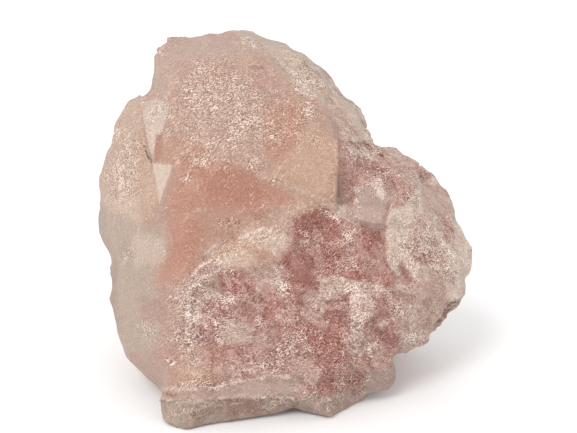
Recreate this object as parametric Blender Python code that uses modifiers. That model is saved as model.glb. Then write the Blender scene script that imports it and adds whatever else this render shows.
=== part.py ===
"""A rough chunk of rose quartz: one solid stone, standing on its flattest side."""

import random
from math import cos, radians, sin

import bmesh
import bpy
import numpy as np
from mathutils import Matrix, Vector, kdtree, noise

MM = 0.001

# The stone is laid out on its broad face: right and up lie in that face and forward stands out
# of it, in millimetres. Right is counted from the stone's middle and forward from the plane of
# its widest outline.
FACE_LEAN = radians(20)  # the broad face leans back from upright by this much
TOE = (-31.7, 1.7, 15.5)  # the corner of the foot that touches the ground furthest forward
MIDDLE = (-0.06, 33.7)  # middle of the stone's box, which becomes the origin

GRAIN = 0.9  # spacing of the mesh that the scars and breaks are worked on
EASING = 0.5  # how far each pass eases the steps of that mesh
EASING_PASSES = 3
TRIANGLES = 8600  # what the finished stone is thinned to
LEVEL = 0.4  # points this near the ground rest on it
GROUND = 300  # side of the block that cuts the foot level
SEED = 11

# The lumps that the stone is grown together from. Each is the hull of its corners.
LUMPS = {
    "core": [
        (-44, 108, -2), (-56, 92, -8), (-57, 66, -9), (-53, 40, -6), (-38, 16, 8), (-40, 104, 6),
        (-38, 44, 10), (-32, 12, 12), (0, 14, 12), (26, 16, 4), (34, 28, 5), (46, 36, -5),
        (55, 48, -8), (50, 74, -8), (34, 90, -5), (34, 72, 7), (30, 30, 8), (10, 84, 8),
        (-10, 118, 2), (16, 100, 6), (-30, 27, -60), (14, 27, -60), (33, 22, -43), (-44, 42, -42),
        (-20, 70, -50), (18, 66, -50), (44, 52, -34), (-10, 108, -36), (14, 100, -38),
        (-40, 95, -28), (-48, 96, -26), (-40, 80, -42), (28, 92, -38), (36, 78, -42),
    ],
    "crown": [
        (-45, 128.5, -7), (-38.5, 133.8, -8), (-20, 135.3, -9), (-6, 132.5, -9), (-46.5, 115, -4),
        (-45.5, 97, 3), (6, 128, -10), (17.5, 117, -9), (24, 110.5, -8), (28, 103, -5),
        (29.5, 98, -2), (-38, 120, 6), (-28, 123, 8), (-8, 124, 7), (4, 113, 10), (14, 107, 9),
        (-37.5, 106, 13), (-38.5, 90, 15), (-40, 72, 14), (-18, 92, 20), (5, 90, 19),
        (17.5, 96, 15), (17, 77, 17), (13, 74, 17), (0, 57, 15), (-15, 54, 16),
        (-23, 51, 17), (-33, 46, 17), (-38, 47, 14), (-24, 72, 18), (-30, 60, -30),
        (15, 60, -35), (-25, 115, -26), (5, 112, -28), (-40, 90, -22),
    ],
    "outer_strip": [
        (-20, 136.5, -17), (-11, 137.2, -18), (5, 131, -19), (17.5, 118.2, -18), (25, 111.5, -16),
        (29.5, 106, -13), (-14, 133.5, -7), (5, 125, 3), (14, 114, 6), (24, 104, 4),
        (-15, 100, -40), (10, 95, -44), (26, 90, -30), (-4, 127, 4),
    ],
    "left_slab": [
        (-49.5, 114.3, -9), (-54.5, 111.2, -12), (-59, 104, -14), (-62.3, 96, -16), (-65, 84, -17),
        (-66, 70, -17), (-64, 63.5, -14), (-60.5, 58, -11), (-43, 108, 6), (-40, 92, 10),
        (-40, 70, 13), (-42, 62, 13), (-50, 60, 9), (-53, 92, 2), (-56, 76, 2),
        (-45, 100, -34), (-55, 74, -36), (-50, 55, -36), (-30, 80, -20),
    ],
    "left_wedge": [
        (-45, 90, 9), (-38, 90, 14), (-37, 86, 15), (-41, 76, 14), (-44, 72, 13), (-47, 70, 10),
        (-40, 80, -10), (-34, 80, -10),
    ],
    "left_flank": [
        (-60, 60, -11), (-60.3, 44, -12), (-58.5, 32.5, -10), (-53.8, 22.4, -7), (-46.3, 16.4, -2),
        (-41.3, 12.5, 3), (-44, 68, 10), (-36, 62, 14), (-30, 42, 15), (-34, 18, 17),
        (-48, 48, 9), (-45, 30, 12), (-52, 60, -36), (-52, 38, -38), (-40, 24, -34),
    ],
    "lower_mass": [
        (-40, 14.5, 14), (-32, 15, 18), (-15, 18.5, 19), (2, 20, 17), (14, 19, 14),
        (27, 19, 8), (-38, 42, 12), (-20, 52, 10), (-3, 54, 9.5), (4, 68, 10), (14, 76, 10.5),
        (31, 74, 10), (35, 54, 11), (22, 42, 13), (0, 35, 16), (-20, 35, 17),
        (34, 30, 8), (38, 22, 3), (-35, 22, -40), (20, 24, -45), (25, 60, -40),
    ],
    "lilac_ledge": [
        (16, 78, 10), (34, 76, 11), (35, 68, 13), (29, 68, 14), (19, 71, 14), (12, 75, 13),
        (20, 70, -10), (30, 75, -10),
    ],
    "shoulder": [
        (30, 97, -6), (38, 95, -9), (40, 91.6, -10), (47.5, 89, -12), (53.5, 84.5, -13),
        (57.5, 79, -14), (60.5, 72, -14), (62.5, 66, -13), (20, 96, 7), (16, 76, 9), (32, 86, 9),
        (41, 82, 6), (36, 70, 12), (48, 70, 4), (20, 80, -30), (48, 70, -34), (45, 55, -34),
    ],
    "right_cheek": [
        (34, 77, 12), (34, 54, 14), (43, 74, 9), (62.5, 66, -10), (66, 61, -13), (65, 53, -14),
        (62.5, 49, -12), (62.3, 44.5, -13), (60, 41.5, -12), (55.3, 36.4, -10), (51.5, 30.8, -9),
        (47.5, 26.8, -6), (39.8, 23, -2), (52, 52, 4), (44, 42, 8), (34, 38, 12), (33, 26, 8),
        (20, 40, -30), (50, 50, -36), (40, 34, -30),
    ],
    "foot": [
        (-40.5, 13, 13), (-40.3, 2.8, 10.5), TOE, (-19, 5.4, 9.5), (-11, 7.4, 8.5), (-32, 13.5, 17),
        (-15, 15.5, 17.5), (2, 16, 14), (2, 6.6, 4.5), (-39, 10, -5), (-39, 12, -22),
        (-40, 18, -38), (-10, 22, -52),
    ],
    "heel": [
        (2, 16, 14), (5, 6.4, 4), (15, 4.6, 8.3), (26, 9, -2.5), (22, 16, 8), (29, 16, 1),
        (-4, 16, 12), (-5, 22, -52), (20, 20, -46), (31, 12, -22),
    ],
    "corner_knob": [
        (27, 21, 7), (38.5, 21, 2), (38.5, 16, -2), (35.5, 11.2, -4), (29.5, 11, -3), (27, 14, 4),
        (20, 25, -20), (35, 24, -22),
    ],
    "back": [
        (-32, 28, -67), (-8, 29, -70), (12, 28, -67), (36, 20, -46), (-46, 44, -48), (-24, 72, -58),
        (14, 66, -59), (50, 50, -38), (-14, 96, -46), (12, 92, -46), (-44, 82, -38),
        (-38, 16, -30), (36, 15, -25), (-30, 100, -5), (15, 100, -5), (-44, 50, -5), (44, 50, -5),
    ],
    "back_ridge": [
        (-12, 131, -28), (-36, 123, -26), (8, 120, -31), (22, 108, -26), (-36, 92, -44),
        (8, 92, -50), (-12, 64, -64), (-30, 62, -58), (-20, 110, -8), (5, 110, -8),
    ],
    "back_right": [
        (58, 60, -32), (58, 73, -25), (42, 90, -26), (48, 40, -40), (32, 32, -56), (26, 68, -52),
        (30, 50, -10), (50, 60, -8),
    ],
    "back_left": [
        (-59, 80, -32), (-56, 100, -24), (-60, 60, -30), (-53, 38, -38), (-40, 32, -54),
        (-38, 82, -46), (-40, 60, -8), (-50, 80, -8),
    ],
}

# Shallow round scars on the broad face, where flakes sprang off: (right, up), width and depth.
SCARS = [
    ((-16, 70), 40, 3.0),
    ((22, 106), 16, 1.6),
    ((28, 89), 20, 2.0),
    ((-54, 84), 26, 1.6),
    ((-50, 44), 30, 2.0),
    ((39, 66), 16, 1.6),
    ((-12, 46), 18, 1.8),
    ((12, 58), 24, 2.2),
    ((-26, 107), 24, 1.2),
    ((10, 27), 18, 1.4),
]
SCAR_RIM = 1.6  # a scar's bowl goes on rising to this many times its width
SCAR_FORWARD = 0.5  # how strongly a scar settles on what stands forward

# Planes of weakness split the surface into tilted pieces: spacing, tilt and step of the pieces.
BREAKS = [(15, 0.10, 0.8), (7, 0.13, 0.5)]
PROUD = 0.25  # the most that a piece stands out of its lump
WAVER = 0.25  # how far the edges of the pieces stray, as a part of the spacing
WAVER_LENGTH = 0.6  # size of the bends in them, as a part of the spacing
APART = [(0, 0, 0), (31, 17, 5), (7, 43, 29)]  # where the noise is read for each direction of the straying

# Glassy places on the broad face, where the breaks hardly show: (right, up), half width and half height.
GLASSY = [
    ((-14, 92), 32, 42),
    ((-55, 78), 20, 34),
    ((-48, 40), 16, 26),
    ((-28, 22), 16, 9),
]
GLASSY_BREAKS = 0.3  # how much of a break shows there
GLASSY_EDGE = (0.85, 1.15)  # where a glassy place starts to fade and where it ends, in parts of its size
GLASSY_DEPTH = -12  # glassy places lie forward of this


def to_stone(right, up, forward):
    """A point of the broad face's layout as a point of the standing stone, in metres."""
    rise, reach = up - TOE[1], forward - TOE[2]
    height = rise * cos(FACE_LEAN) + reach * sin(FACE_LEAN)
    depth = up * sin(FACE_LEAN) - forward * cos(FACE_LEAN)
    return Vector((right, depth, height)) * MM


def lump(name, corners):
    """A closed hull around the corners of one lump."""
    bm = bmesh.new()
    for corner in corners:
        bm.verts.new(to_stone(*corner))
    hull = bmesh.ops.convex_hull(bm, input=bm.verts)
    spare = {v for v in hull["geom_interior"] + hull["geom_unused"] if isinstance(v, bmesh.types.BMVert)}
    bmesh.ops.delete(bm, geom=list(spare), context="VERTS")
    bmesh.ops.recalc_face_normals(bm, faces=bm.faces)
    mesh = bpy.data.meshes.new(name)
    bm.to_mesh(mesh)
    bm.free()
    made = bpy.data.objects.new(name, mesh)
    bpy.context.scene.collection.objects.link(made)
    return made


def block_of_ground():
    """The cutter that levels the foot."""
    bm = bmesh.new()
    bmesh.ops.create_cube(bm, size=GROUND * MM, matrix=Matrix.Translation((0, 0, -GROUND * MM / 2)))
    mesh = bpy.data.meshes.new("ground")
    bm.to_mesh(mesh)
    bm.free()
    block = bpy.data.objects.new("ground", mesh)
    bpy.context.scene.collection.objects.link(block)
    return block


def fuse(lumps):
    """One closed mesh from all the lumps, with an even grain all over."""
    body, *others = lumps
    for other in others:
        union = body.modifiers.new(other.name, "BOOLEAN")
        union.operation = "UNION"
        union.object = other
    level = body.modifiers.new("stands_level", "BOOLEAN")
    level.operation = "DIFFERENCE"
    level.object = ground = block_of_ground()
    remesh = body.modifiers.new("even_grain", "REMESH")
    remesh.mode = "VOXEL"
    remesh.voxel_size = GRAIN * MM
    smooth = body.modifiers.new("eased_steps", "SMOOTH")
    smooth.factor = EASING
    smooth.iterations = EASING_PASSES
    graph = bpy.context.evaluated_depsgraph_get()
    mesh = bpy.data.meshes.new_from_object(body.evaluated_get(graph))
    for used in [*lumps, ground]:
        bpy.data.objects.remove(used)
    return mesh


def read_grain(mesh):
    """Places of a mesh's points, in millimetres, and its four-sided faces."""
    places = np.empty(len(mesh.vertices) * 3, np.float32)
    faces = np.empty(len(mesh.loops), np.int32)
    mesh.vertices.foreach_get("co", places)
    mesh.loops.foreach_get("vertex_index", faces)
    return places.reshape(-1, 3).astype(float) / MM, faces.reshape(-1, 4)


def normals_of(points, faces):
    """Unit normals of the points, summed in the order of the faces so that each run gives the same."""
    across = np.cross(points[faces[:, 2]] - points[faces[:, 0]], points[faces[:, 3]] - points[faces[:, 1]])
    sums = [np.bincount(faces.ravel(), np.repeat(part, 4), len(points)) for part in across.T]
    normals = np.stack(sums, axis=1)
    return normals / np.linalg.norm(normals, axis=1)[:, None]


def laid_out(points):
    """Points of the standing stone, in millimetres, as right, up and forward of its broad face."""
    depth, height = points[:, 1], points[:, 2] + TOE[1] * cos(FACE_LEAN) + TOE[2] * sin(FACE_LEAN)
    up = depth * sin(FACE_LEAN) + height * cos(FACE_LEAN)
    forward = height * sin(FACE_LEAN) - depth * cos(FACE_LEAN)
    return np.stack([points[:, 0], up, forward], axis=1)


def scar(points, centre, normal, width, depth):
    """Presses a shallow bowl into the points, as where a flake sprang off."""
    offset = points - centre
    height = offset @ normal
    across = np.linalg.norm(offset - height[:, None] * normal, axis=1) / (width / 2)
    bowl = depth * (across**2 - 1)
    near = (across < SCAR_RIM) & (height > bowl) & (height > -width / 2)
    points[near] -= (height - bowl)[near, None] * normal


def break_up(points, normals, rng, spacing, tilt, step, strength):
    """Turns the surface into flat pieces that tilt and step against each other."""
    low, high = points.min(axis=0), points.max(axis=0)
    count = int(np.prod(high - low) / spacing**3)
    tree = kdtree.KDTree(count)
    tilts = []
    for piece in range(count):
        tree.insert([rng.uniform(a, b) for a, b in zip(low, high)], piece)
        tilts.append([rng.gauss(0, tilt) for _ in range(3)] + [rng.uniform(-step, 0)])
    tree.balance()
    for i, point in enumerate(points):
        at = Vector(point) / (spacing * WAVER_LENGTH)
        waver = Vector([noise.noise(at + Vector(shift)) for shift in APART])
        seed, piece, _ = tree.find(Vector(point) + waver * spacing * WAVER)
        lean = tilts[piece]
        move = sum((p - s) * t for p, s, t in zip(point, seed, lean)) + lean[3]
        points[i] = point + normals[i] * min(move, PROUD) * strength[i]


def roughness(points):
    """How strongly the breaks show at each point, from GLASSY_BREAKS to 1."""
    right, up, forward = laid_out(points).T
    strength = np.ones(len(points))
    for (middle_right, middle_up), half_width, half_height in GLASSY:
        away = np.hypot((right - middle_right) / half_width, (up - middle_up) / half_height)
        strength = np.minimum(strength, np.interp(away, GLASSY_EDGE, (GLASSY_BREAKS, 1)))
    return np.where(forward > GLASSY_DEPTH, strength, 1)


def thin_out(points, faces):
    """The same surface in far fewer triangles, as a mesh."""
    bm = bmesh.new()
    corners = [bm.verts.new(Vector(point) * MM) for point in points]
    for face in faces:
        bm.faces.new([corners[i] for i in face])
    grain = bpy.data.meshes.new("grain")
    bm.to_mesh(grain)
    bm.free()
    stone = bpy.data.objects.new("grain", grain)
    bpy.context.scene.collection.objects.link(stone)
    thin = stone.modifiers.new("facets", "DECIMATE")
    thin.ratio = TRIANGLES / (2 * len(faces))
    graph = bpy.context.evaluated_depsgraph_get()
    mesh = bpy.data.meshes.new_from_object(stone.evaluated_get(graph))
    bpy.data.objects.remove(stone)
    return mesh


def settle(mesh):
    """Brings the points that are nearly on the ground down onto it, and the middle to the origin."""
    for point in mesh.vertices:
        if point.co.z < LEVEL * MM:
            point.co.z = 0
        point.co.xy -= Vector(MIDDLE) * MM


def rose_quartz():
    """Milky pink quartz with a faint wet shine."""
    material = bpy.data.materials.new("rose_quartz")
    material.use_nodes = True
    shader = material.node_tree.nodes["Principled BSDF"]
    shader.inputs["Base Color"].default_value = (0.56, 0.33, 0.27, 1)
    shader.inputs["Roughness"].default_value = 0.35
    shader.inputs["Metallic"].default_value = 0
    return material


def main():
    for old in list(bpy.data.objects):
        bpy.data.objects.remove(old)
    points, faces = read_grain(fuse([lump(name, corners) for name, corners in LUMPS.items()]))
    normals = normals_of(points, faces)
    layout = laid_out(points)
    for (right, up), width, depth in SCARS:
        away = np.hypot(layout[:, 0] - right, layout[:, 1] - up) - layout[:, 2] * SCAR_FORWARD
        centre = points[np.argmin(away)].copy()
        normal = normals[np.linalg.norm(points - centre, axis=1) < width / 2].mean(axis=0)
        scar(points, centre, normal / np.linalg.norm(normal), width, depth)
    rng = random.Random(SEED)
    strength = np.where(points[:, 2] < GRAIN, 0, roughness(points))
    for spacing, tilt, step in BREAKS:
        break_up(points, normals_of(points, faces), rng, spacing, tilt, step, strength)
    mesh = thin_out(points, faces)
    settle(mesh)
    mesh.materials.append(rose_quartz())
    chunk = bpy.data.collections.new("rose quartz chunk")
    bpy.context.scene.collection.children.link(chunk)
    chunk.objects.link(bpy.data.objects.new("quartz_chunk", mesh))


main()
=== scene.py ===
"""A rough chunk of rose quartz on a plain studio floor, laid out as a Blender add-on and run as a script."""

from math import cos, radians, sin

import bpy
import numpy as np
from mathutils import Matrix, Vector, kdtree, noise


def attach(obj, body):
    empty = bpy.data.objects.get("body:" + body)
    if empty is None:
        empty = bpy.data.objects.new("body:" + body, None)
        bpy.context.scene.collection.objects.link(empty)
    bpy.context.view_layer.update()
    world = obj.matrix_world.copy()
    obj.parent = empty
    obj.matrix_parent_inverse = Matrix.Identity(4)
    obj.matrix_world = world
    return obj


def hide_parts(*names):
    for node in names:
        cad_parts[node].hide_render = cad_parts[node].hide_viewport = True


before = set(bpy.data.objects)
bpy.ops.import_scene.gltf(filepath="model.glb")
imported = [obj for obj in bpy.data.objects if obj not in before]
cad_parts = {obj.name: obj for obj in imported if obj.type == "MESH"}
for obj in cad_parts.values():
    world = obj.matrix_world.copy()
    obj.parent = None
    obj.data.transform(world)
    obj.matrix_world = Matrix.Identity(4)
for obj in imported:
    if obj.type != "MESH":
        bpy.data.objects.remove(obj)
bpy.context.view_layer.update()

bl_info = {
    "name": "Rose Quartz Chunk",
    "version": (1, 0, 0),
    "blender": (4, 5, 0),
    "location": "3D View > Sidebar > Rose Quartz",
    "description": "Dresses a packed rose quartz chunk and sets it in a pale studio",
    "category": "Object",
}

MM = 0.001
NODE = "quartz_chunk"
SEED = 4

# The camera looks down at AIM on the broad face, from this angle and distance. Lengths are in millimetres.
VIEW_LIFT = radians(20)
AIM = Vector((1.23, -9.36, 59.98))
DISTANCE = 427.4
RIGHT = Vector((1, 0, 0))
UP = Vector((0, sin(VIEW_LIFT), cos(VIEW_LIFT)))
TOWARDS = Vector((0, -cos(VIEW_LIFT), sin(VIEW_LIFT)))

# Places on the broad face are marks: thirds of a millimetre, right and down from the top left corner
# of the camera's view, whose middle is at AIM_MARK.
MARKS = 3
AIM_MARK = (288.5, 216.5)

# Layers of colour on the broad face, the later ones over the earlier: colour, softness of the edge in
# marks, strength and outline.
LAYERS = (
    # the whole face, then the crown and the strip outside it
    ("blush", 20, 1, ((90, 20), (480, 20), (480, 440), (90, 440))),
    ("crown", 14, 1, ((148, 88), (156, 48), (200, 28), (262, 40), (300, 70), (335, 110), (338, 200),
        (300, 196), (250, 178), (205, 168), (160, 165))),
    ("top", 14, 0.8, ((152, 88), (156, 46), (178, 32), (222, 30), (256, 50), (240, 62), (180, 62),
        (165, 100))),
    ("strip", 7, 1, ((222, 26), (262, 30), (312, 56), (352, 98), (372, 128), (380, 143), (342, 141),
        (335, 115), (318, 98), (296, 92), (282, 72), (258, 50), (240, 40))),
    # partly painted shade: the dark pink patch sunk into the crown
    ("pink_and_recess_shade", 5, 0.8, ((252, 64), (264, 68), (280, 80), (282, 98), (270, 97), (258, 84))),
    ("peach", 12, 0.8, ((268, 104), (300, 104), (306, 128), (300, 160), (276, 166), (262, 145))),
    ("honey", 12, 0.9, ((306, 130), (336, 128), (337, 198), (306, 194), (268, 178), (280, 164))),
    ("peach", 7, 0.6, ((156, 138), (196, 140), (212, 150), (190, 162), (156, 162))),
    ("peach", 8, 0.5, ((176, 158), (205, 160), (200, 172), (180, 176))),
    # the left side
    ("slab", 8, 1, ((90, 235), (96, 170), (116, 108), (146, 92), (143, 128), (152, 160), (158, 196),
        (152, 214), (140, 224), (118, 232))),
    ("bright", 8, 0.45, ((100, 198), (140, 196), (140, 224), (112, 226))),
    ("flank", 10, 1, ((92, 200), (140, 224), (168, 228), (166, 262), (158, 284), (164, 320), (158, 346),
        (130, 352), (100, 330), (90, 250))),
    ("bright", 12, 0.55, ((134, 234), (164, 238), (162, 264), (132, 264))),
    ("rose", 9, 0.5, ((138, 298), (168, 296), (166, 322), (140, 322))),
    ("foot", 9, 0.7, ((90, 190), (104, 196), (106, 240), (118, 268), (116, 300), (122, 332), (104, 332))),
    # the deep hollow, its deepest colour partly painted shade, and the lip below it
    ("peach", 22, 1, ((176, 168), (214, 160), (250, 172), (288, 194), (302, 202), (276, 216), (240, 230),
        (206, 246), (198, 268), (178, 284), (158, 282), (158, 268), (170, 256), (166, 210))),
    # partly painted shade in the upper part of the hollow, which faces down, over its deeper peach
    ("ember_and_shade", 26, 0.95, ((206, 170), (238, 170), (262, 184), (268, 200), (240, 214), (216, 212), (200, 190))),
    ("blush", 14, 0.45, ((204, 212), (236, 206), (262, 214), (236, 228), (206, 232))),
    # partly painted shade in the lower left of the hollow
    ("ember_and_shade", 16, 0.45, ((172, 226), (196, 222), (198, 250), (180, 270), (166, 262))),
    ("honey", 12, 0.9, ((214, 250), (250, 226), (300, 202), (338, 196), (332, 212), (302, 218), (292, 244),
        (282, 262), (240, 268), (206, 264))),
    ("crown", 8, 0.7, ((262, 206), (300, 204), (292, 240), (284, 256), (262, 240))),
    ("peach", 10, 0.4, ((246, 204), (284, 196), (300, 202), (262, 216))),
    # partly painted light on the lip, which faces up, over its pale quartz
    ("bright", 3, 0.45, ((214, 262), (226, 254), (244, 250), (258, 256), (250, 266), (222, 268))),
    ("bright", 3, 0.4, ((236, 244), (252, 236), (270, 230), (284, 232), (274, 240), (254, 248))),
    ("peach", 4, 0.4, ((252, 252), (270, 244), (286, 246), (282, 258), (262, 262))),
    # the broken middle, its mauve and wine partly painted shade under the crown's overhang
    ("mauve", 3, 1, ((294, 218), (315, 210), (327, 206), (340, 216), (356, 225), (382, 229), (386, 240),
        (386, 262), (396, 276), (392, 288), (366, 283), (350, 279), (322, 278), (318, 292), (300, 292),
        (284, 278), (278, 264), (286, 254), (292, 243))),
    ("wine", 9, 0.75, ((296, 220), (314, 214), (326, 222), (330, 250), (326, 274), (306, 286), (288, 276),
        (284, 264), (298, 250))),
    ("wine", 9, 0.6, ((328, 248), (360, 252), (352, 274), (330, 274))),
    ("rose", 5, 0.8, ((338, 226), (362, 230), (362, 248), (344, 248))),
    ("rose", 6, 0.9, ((360, 252), (382, 250), (386, 270), (374, 280), (360, 272))),
    ("rose", 3, 0.8, ((296, 238), (304, 236), (302, 252), (290, 256))),
    # the sunken faces right of the crown, their pink partly painted shade
    ("pink_and_recess_shade", 3, 1, ((338, 140), (366, 144), (388, 158), (404, 164), (414, 178), (416, 192), (406, 206),
        (398, 205), (388, 214), (352, 206), (338, 202))),
    ("mauve", 8, 0.5, ((340, 160), (372, 160), (396, 172), (402, 190), (386, 184), (352, 190), (340, 184))),
    ("lilac", 5, 0.95, ((354, 186), (372, 182), (386, 196), (386, 222), (376, 229), (356, 220), (340, 210),
        (344, 202), (354, 205))),
    # partly painted shade on a sunken face
    ("pink_and_recess_shade", 6, 0.7, ((398, 150), (428, 172), (440, 188), (430, 200), (416, 188), (408, 172))),
    # the right cheek
    ("cream", 3, 1, ((386, 222), (391, 209), (404, 207), (412, 196), (420, 184), (434, 178), (452, 204),
        (470, 240), (474, 262), (468, 298), (446, 300), (444, 280), (430, 284), (414, 282), (404, 268),
        (397, 278), (387, 262), (385, 244))),
    ("blush", 5, 0.8, ((420, 186), (438, 184), (452, 204), (456, 222), (446, 214), (424, 214))),
    # partly painted shade in the sunken crevice of the cheek
    ("pink_and_recess_shade", 3, 1, ((436, 214), (448, 214), (456, 230), (454, 244), (444, 240), (436, 226))),
    ("lilac", 3, 0.9, ((417, 235), (436, 235), (438, 247), (420, 247))),
    ("rose", 3, 0.8, ((419, 250), (434, 248), (448, 262), (440, 266), (424, 264))),
    ("blush", 4, 0.9, ((412, 236), (420, 248), (424, 266), (412, 258), (404, 246))),
    ("bright", 2.5, 0.7, ((386, 232), (392, 234), (410, 252), (422, 274), (414, 272), (398, 254),
        (388, 246))),
    ("bright", 2.5, 0.7, ((436, 246), (444, 250), (462, 274), (462, 284), (450, 268))),
    ("blush", 3, 0.9, ((426, 268), (450, 270), (454, 284), (430, 284))),
    ("rose", 3, 0.8, ((386, 262), (396, 276), (404, 274), (418, 284), (400, 286), (386, 276))),
    ("mauve", 2.5, 0.9, ((397, 266), (402, 264), (410, 276), (414, 284), (404, 280))),
    ("blush", 4, 0.9, ((414, 284), (446, 284), (448, 298), (420, 302))),
    ("lilac", 3, 0.7, ((418, 290), (424, 288), (432, 304), (424, 306))),
    ("bright", 2.5, 0.6, ((424, 222), (440, 212), (446, 214), (430, 226))),
    ("bright", 2.5, 0.7, ((446, 292), (460, 290), (464, 298), (446, 302))),
    # partly painted shade beside that crevice
    ("pink_and_recess_shade", 6, 0.45, ((418, 215), (436, 215), (436, 235), (418, 235))),
    # below the middle
    ("rose", 10, 1, ((200, 300), (240, 292), (300, 290), (388, 292), (398, 330), (400, 362), (362, 392),
        (320, 398), (280, 376), (230, 380), (196, 350))),
    # partly painted shade under the overhang, over the deeper mauve
    ("mauve", 4, 1, ((217, 272), (240, 269), (260, 278), (256, 287), (242, 297), (222, 293))),
    ("mauve", 8, 0.5, ((200, 300), (258, 300), (262, 322), (222, 324), (204, 316))),
    ("mauve", 7, 0.6, ((262, 282), (300, 290), (300, 330), (262, 330))),
    ("wine", 4, 0.8, ((320, 300), (346, 298), (349, 308), (340, 322), (326, 324), (317, 316))),
    ("mauve", 6, 0.9, ((300, 326), (346, 322), (348, 356), (330, 372), (348, 384), (318, 396), (316, 360))),
    ("wine", 6, 0.6, ((322, 344), (346, 340), (346, 362), (332, 370), (356, 372), (361, 386), (342, 394),
        (328, 388), (324, 366))),
    ("wine", 4, 0.7, ((376, 330), (400, 334), (400, 354), (386, 354))),
    ("strip", 4, 0.75, ((222, 326), (240, 324), (256, 328), (252, 342), (226, 348))),
    ("mauve", 7, 0.5, ((224, 344), (242, 344), (240, 366), (224, 366))),
    ("lilac", 6, 0.8, ((352, 334), (368, 332), (372, 352), (352, 360))),
    ("blush", 6, 0.8, ((392, 292), (416, 288), (440, 300), (430, 330), (414, 344), (402, 332))),
    ("lilac", 6, 0.6, ((400, 306), (420, 304), (420, 330), (402, 330))),
    ("peach", 10, 0.35, ((160, 346), (198, 340), (224, 352), (220, 380), (170, 388))),
    ("honey", 8, 0.6, ((176, 366), (222, 366), (220, 382), (180, 388))),
    ("blush", 8, 0.6, ((262, 370), (318, 370), (318, 380), (262, 376))),
    # the foot, its grey partly painted shade where the underside faces down, and the knob
    ("blush", 3, 0.9, ((156, 388), (214, 389), (240, 379), (290, 376), (318, 396), (240, 398), (158, 401))),
    ("lilac", 4, 0.8, ((206, 390), (240, 381), (296, 378), (306, 396), (206, 398))),
    # partly painted shade in a small notch above the foot
    ("pink_and_recess_shade", 4, 0.6, ((270, 382), (276, 380), (278, 396), (270, 396))),
    # partly painted shade on the underside, which faces down, over its grey quartz
    ("foot", 2.5, 1, ((156, 401), (240, 398), (300, 398), (352, 392), (352, 404), (318, 420), (250, 416),
        (190, 436), (160, 430))),
    ("flank", 5, 0.6, ((160, 404), (188, 402), (192, 428), (162, 424))),
    ("clay", 3, 1, ((226, 400), (264, 399), (258, 416), (246, 412), (228, 418))),
    ("knob", 3, 0.8, ((264, 400), (284, 399), (284, 414), (260, 416))),
    ("clay", 5, 0.5, ((196, 402), (228, 402), (220, 414), (200, 414))),
    ("knob", 4, 0.6, ((308, 402), (340, 396), (356, 392), (350, 404), (320, 416))),
    ("knob", 3, 1, ((364, 372), (380, 369), (400, 370), (398, 388), (382, 394), (364, 391))),
    ("lilac", 4, 0.7, ((336, 398), (356, 384), (368, 392), (352, 402))),
    # whitened quartz: the wedge left of the crown, partly a painted highlight where it faces the lamp, the
    # forked vein and smaller patches
    ("bright", 2, 1, ((141, 102), (156, 99), (169, 104), (166, 118), (160, 133), (156, 136), (153, 160),
        (147, 140))),
    # partly painted shade in the crevice by the wedge
    ("ember_and_shade", 3, 0.8, ((157, 134), (162, 136), (163, 150), (158, 161), (154, 160))),
    ("bright", 2, 1, ((153, 163), (172, 165), (166, 184), (159, 204), (157, 192))),
    ("bright", 3, 0.6, ((321, 280), (327, 277), (347, 280), (351, 285), (349, 291), (335, 295), (325, 301),
        (320, 288))),
    ("blush", 4, 0.7, ((328, 283), (342, 283), (344, 288), (330, 291))),
    ("frost_and_glint", 3, 0.4, ((350, 284), (360, 281), (377, 284), (383, 299), (368, 295), (353, 301))),
    ("frost_and_glint", 4, 0.45, ((350, 297), (372, 296), (374, 308), (376, 315), (363, 325), (362, 342), (354, 340),
        (350, 322))),
    ("wine", 3, 0.9, ((323, 301), (346, 299), (348, 308), (343, 321), (328, 325), (318, 316))),
    ("bright", 3, 0.7, ((377, 325), (385, 318), (397, 317), (392, 322), (382, 328))),
    ("frost_and_glint", 3, 0.7, ((374, 178), (380, 178), (385, 192), (383, 200), (377, 196))),
    ("bright", 3, 0.7, ((354, 188), (359, 188), (359, 207), (354, 207))),
    ("bright", 3, 0.6, ((262, 244), (274, 236), (286, 232), (288, 246), (280, 256), (266, 252))),
    ("bright", 4, 0.6, ((322, 204), (334, 204), (352, 212), (366, 220), (350, 222), (334, 214))),
    ("bright", 4, 0.5, ((286, 66), (306, 70), (320, 92), (312, 98), (296, 88))),
    ("frost_and_glint", 5, 0.5, ((182, 304), (198, 302), (200, 322), (188, 324), (180, 316))),
    ("bright", 8, 0.5, ((172, 300), (186, 282), (214, 274), (218, 292), (200, 304), (176, 322))),
    ("bright", 4, 0.1, ((240, 380), (290, 378), (314, 386), (314, 394), (244, 394))),
    ("crown", 10, 0.7, ((168, 300), (190, 282), (216, 276), (218, 296), (200, 312), (172, 330))),
    ("cream", 4, 0.8, ((400, 332), (420, 330), (424, 338), (404, 344))),
    ("bright", 4, 0.5, ((276, 278), (284, 276), (286, 298), (278, 298))),
    ("bright", 5, 0.4, ((364, 336), (384, 340), (384, 356), (366, 352))),
)

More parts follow.
